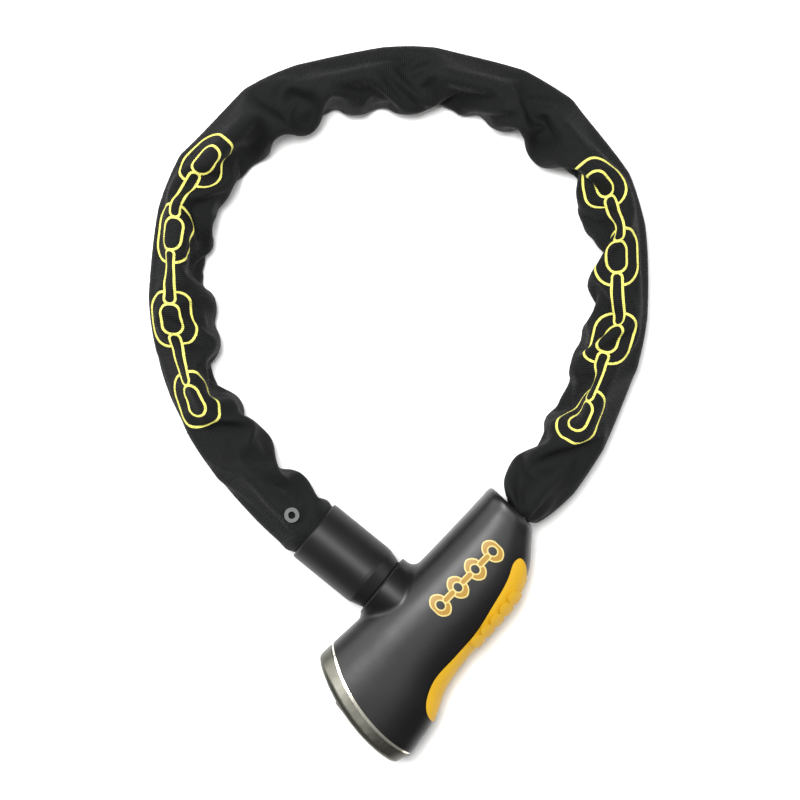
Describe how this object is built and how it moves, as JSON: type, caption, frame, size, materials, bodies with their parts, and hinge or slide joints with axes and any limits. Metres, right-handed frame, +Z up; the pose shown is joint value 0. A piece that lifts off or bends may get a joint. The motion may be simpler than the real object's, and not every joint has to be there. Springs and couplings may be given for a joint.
{
  "type": "chain lock",
  "caption": "Steel chain in a fabric sleeve, joined in a loop by a moulded lock head with a key cylinder and a plug-in ferrule.",
  "frame": {"origin": "centre of the whole closed lock's plan box, on the surface it lies on", "axes": "+Z up from the table, +Y from the head towards the far end of the chain loop, +X to the right seen from above"},
  "size_m": [0.2559, 0.3592, 0.0386],
  "materials": {
    "moulded_black": "moulded, satin",
    "grip_amber": "soft-touch",
    "cap_steel": "satin",
    "rim_polished": "polished",
    "hardened_steel": "ground",
    "stud_steel": "turned",
    "screw_zinc": "zinc plated",
    "seal_rubber": "moulded",
    "cylinder_brass": "turned brass",
    "cover_steel": "satin chrome",
    "collar_plastic": "moulded, satin",
    "eyelet_grey": "painted",
    "chain_zinc": "zinc plated",
    "sleeve_fabric": "ribbed woven"
  },
  "bodies": {
    "head": {"casing_upper": "moulded_black", "casing_lower": "moulded_black", "grip_pad": "grip_amber", "cap_rim": "rim_polished", "end_cap": "cap_steel", "lock_core": "hardened_steel", "port_liner": "hardened_steel", "port_seal": "seal_rubber", "anchor_pin": "hardened_steel", "casing_screws": "screw_zinc", "cylinder_barrel": "cylinder_brass", "cover_ring": "cover_steel"},
    "link_01": {"chain_link_01": "chain_zinc"},
    "link_02": {"chain_link_02": "chain_zinc", "sleeve_01": "sleeve_fabric"},
    "link_03": {"chain_link_03": "chain_zinc"},
    "link_04": {"chain_link_04": "chain_zinc", "sleeve_02": "sleeve_fabric"},
    "link_05": {"chain_link_05": "chain_zinc"},
    "link_06": {"chain_link_06": "chain_zinc", "sleeve_03": "sleeve_fabric"},
    "link_07": {"chain_link_07": "chain_zinc"},
    "link_08": {"chain_link_08": "chain_zinc", "sleeve_04": "sleeve_fabric"},
    "link_09": {"chain_link_09": "chain_zinc"},
    "link_10": {"chain_link_10": "chain_zinc", "sleeve_05": "sleeve_fabric"},
    "link_11": {"chain_link_11": "chain_zinc"},
    "link_12": {"chain_link_12": "chain_zinc", "sleeve_06": "sleeve_fabric"},
    "link_13": {"chain_link_13": "chain_zinc"},
    "link_14": {"chain_link_14": "chain_zinc", "sleeve_07": "sleeve_fabric"},
    "link_15": {"chain_link_15": "chain_zinc"},
    "link_16": {"chain_link_16": "chain_zinc", "sleeve_08": "sleeve_fabric"},
    "link_17": {"chain_link_17": "chain_zinc"},
    "link_18": {"chain_link_18": "chain_zinc", "sleeve_09": "sleeve_fabric"},
    "link_19": {"chain_link_19": "chain_zinc"},
    "link_20": {"chain_link_20": "chain_zinc", "sleeve_10": "sleeve_fabric", "sleeve_eyelet": "eyelet_grey"},
    "link_21": {"chain_link_21": "chain_zinc"},
    "ferrule": {"ferrule_collar": "collar_plastic", "ferrule_core": "hardened_steel", "ferrule_stud": "stud_steel", "ferrule_pin": "hardened_steel"},
    "plug": {"cylinder_plug": "cylinder_brass", "drill_guard": "hardened_steel", "detainer_discs": "cylinder_brass", "side_bar": "hardened_steel"},
    "locking_plate": {"locking_plate": "hardened_steel"},
    "cover": {"keyway_cover": "cover_steel"}
  },
  "joints": [
    {"name": "chain_hinge_01", "type": "hinge", "parent": "head", "child": "link_01", "pos_m": [0.03223, -0.08603, 0.019], "axis": [0, 0, 1], "range_deg": [0, 1.6]},
    {"name": "chain_hinge_02", "type": "hinge", "parent": "link_01", "child": "link_02", "pos_m": [0.04918, -0.06848, 0.0166], "axis": [0, 0, 1], "range_deg": [0, 3.09]},
    {"name": "chain_hinge_03", "type": "hinge", "parent": "link_02", "child": "link_03", "pos_m": [0.07712, -0.03847, 0.0166], "axis": [0, 0, 1], "range_deg": [0, 6.55]},
    {"name": "chain_hinge_04", "type": "hinge", "parent": "link_03", "child": "link_04", "pos_m": [0.09074, -0.01823, 0.0166], "axis": [0, 0, 1], "range_deg": [0, 6.55]},
    {"name": "chain_hinge_05", "type": "hinge", "parent": "link_04", "child": "link_05", "pos_m": [0.10669, 0.01954, 0.0166], "axis": [0, 0, 1], "range_deg": [0, 3.47]},
    {"name": "chain_hinge_06", "type": "hinge", "parent": "link_05", "child": "link_06", "pos_m": [0.11132, 0.0435, 0.0166], "axis": [0, 0, 1], "range_deg": [-4.41, 0]},
    {"name": "chain_hinge_07", "type": "hinge", "parent": "link_06", "child": "link_07", "pos_m": [0.11056, 0.08449, 0.0166], "axis": [0, 0, 1], "range_deg": [-6.54, 0]},
    {"name": "chain_hinge_08", "type": "hinge", "parent": "link_07", "child": "link_08", "pos_m": [0.10343, 0.10783, 0.0166], "axis": [0, 0, 1], "range_deg": [-6.55, 0]},
    {"name": "chain_hinge_09", "type": "hinge", "parent": "link_08", "child": "link_09", "pos_m": [0.07826, 0.14019, 0.0166], "axis": [0, 0, 1], "range_deg": [-6.54, 0]},
    {"name": "chain_hinge_10", "type": "hinge", "parent": "link_09", "child": "link_10", "pos_m": [0.05737, 0.15281, 0.0166], "axis": [0, 0, 1], "range_deg": [-6.53, 0]},
    {"name": "chain_hinge_11", "type": "hinge", "parent": "link_10", "child": "link_11", "pos_m": [0.01765, 0.16295, 0.0166], "axis": [0, 0, 1], "range_deg": [-6.44, 0]},
    {"name": "chain_hinge_12", "type": "hinge", "parent": "link_11", "child": "link_12", "pos_m": [-0.00675, 0.16304, 0.0166], "axis": [0, 0, 1], "range_deg": [-3.66, 0]},
    {"name": "chain_hinge_13", "type": "hinge", "parent": "link_12", "child": "link_13", "pos_m": [-0.04691, 0.15477, 0.0166], "axis": [0, 0, 1], "range_deg": [-0.614, 0]},
    {"name": "chain_hinge_14", "type": "hinge", "parent": "link_13", "child": "link_14", "pos_m": [-0.06906, 0.14454, 0.0166], "axis": [0, 0, 1], "range_deg": [0, 1.44]},
    {"name": "chain_hinge_15", "type": "hinge", "parent": "link_14", "child": "link_15", "pos_m": [-0.09769, 0.11519, 0.0166], "axis": [0, 0, 1], "range_deg": [0, 2.61]},
    {"name": "chain_hinge_16", "type": "hinge", "parent": "link_15", "child": "link_16", "pos_m": [-0.10687, 0.09258, 0.0166], "axis": [0, 0, 1], "range_deg": [0, 3.54]},
    {"name": "chain_hinge_17", "type": "hinge", "parent": "link_16", "child": "link_17", "pos_m": [-0.11123, 0.05181, 0.0166], "axis": [0, 0, 1], "range_deg": [0, 4.54]},
    {"name": "chain_hinge_18", "type": "hinge", "parent": "link_17", "child": "link_18", "pos_m": [-0.10784, 0.02765, 0.0166], "axis": [0, 0, 1], "range_deg": [0, 5.19]},
    {"name": "chain_hinge_19", "type": "hinge", "parent": "link_18", "child": "link_19", "pos_m": [-0.09314, -0.01062, 0.0166], "axis": [0, 0, 1], "range_deg": [0, 5.04]},
    {"name": "chain_hinge_20", "type": "hinge", "parent": "link_19", "child": "link_20", "pos_m": [-0.07949, -0.03085, 0.0166], "axis": [0, 0, 1], "range_deg": [0, 4.14]},
    {"name": "chain_hinge_21", "type": "hinge", "parent": "link_20", "child": "link_21", "pos_m": [-0.04949, -0.05879, 0.0166], "axis": [0, 0, 1], "range_deg": [-5.03, 0]},
    {"name": "chain_hinge_22", "type": "hinge", "parent": "link_21", "child": "ferrule", "pos_m": [-0.03055, -0.07418, 0.019], "axis": [0, 0, 1], "range_deg": [-1.44, 0]},
    {"name": "plug_turn", "type": "hinge", "parent": "head", "child": "plug", "pos_m": [0.01894, -0.1149, 0.019], "axis": [0.6947, 0.7193, 0], "range_deg": [0, 90.01]},
    {"name": "plate_lift", "type": "slide", "parent": "head", "child": "locking_plate", "axis": [0, 0, 1], "range_m": [0, 0.00283]},
    {"name": "cover_turn", "type": "hinge", "parent": "head", "child": "cover", "pos_m": [0.01894, -0.1149, 0.019], "axis": [0.6947, 0.7193, 0], "range_deg": [0, 180]}
  ],
  "couplings": [
    {"joint": "chain_hinge_01", "follows": "chain_hinge_03", "ratio": 0.24195},
    {"joint": "chain_hinge_02", "follows": "chain_hinge_03", "ratio": 0.46914},
    {"joint": "chain_hinge_04", "follows": "chain_hinge_03", "ratio": 0.99701},
    {"joint": "chain_hinge_05", "follows": "chain_hinge_03", "ratio": 0.52739},
    {"joint": "chain_hinge_06", "follows": "chain_hinge_03", "ratio": -0.6703},
    {"joint": "chain_hinge_07", "follows": "chain_hinge_03", "ratio": -0.99547},
    {"joint": "chain_hinge_08", "follows": "chain_hinge_03", "ratio": -0.99629},
    {"joint": "chain_hinge_09", "follows": "chain_hinge_03", "ratio": -0.99548},
    {"joint": "chain_hinge_10", "follows": "chain_hinge_03", "ratio": -0.9945},
    {"joint": "chain_hinge_11", "follows": "chain_hinge_03", "ratio": -0.98061},
    {"joint": "chain_hinge_12", "follows": "chain_hinge_03", "ratio": -0.55584},
    {"joint": "chain_hinge_13", "follows": "chain_hinge_03", "ratio": -0.090698},
    {"joint": "chain_hinge_14", "follows": "chain_hinge_03", "ratio": 0.21596},
    {"joint": "chain_hinge_15", "follows": "chain_hinge_03", "ratio": 0.39495},
    {"joint": "chain_hinge_16", "follows": "chain_hinge_03", "ratio": 0.53811},
    {"joint": "chain_hinge_17", "follows": "chain_hinge_03", "ratio": 0.69048},
    {"joint": "chain_hinge_18", "follows": "chain_hinge_03", "ratio": 0.78944},
    {"joint": "chain_hinge_19", "follows": "chain_hinge_03", "ratio": 0.76718},
    {"joint": "chain_hinge_20", "follows": "chain_hinge_03", "ratio": 0.62841},
    {"joint": "chain_hinge_21", "follows": "chain_hinge_03", "ratio": -0.76477},
    {"joint": "chain_hinge_22", "follows": "chain_hinge_03", "ratio": -0.21609},
    {"joint": "plug_turn", "follows": "plate_lift", "rad_per_m": 555.37}
  ]
}
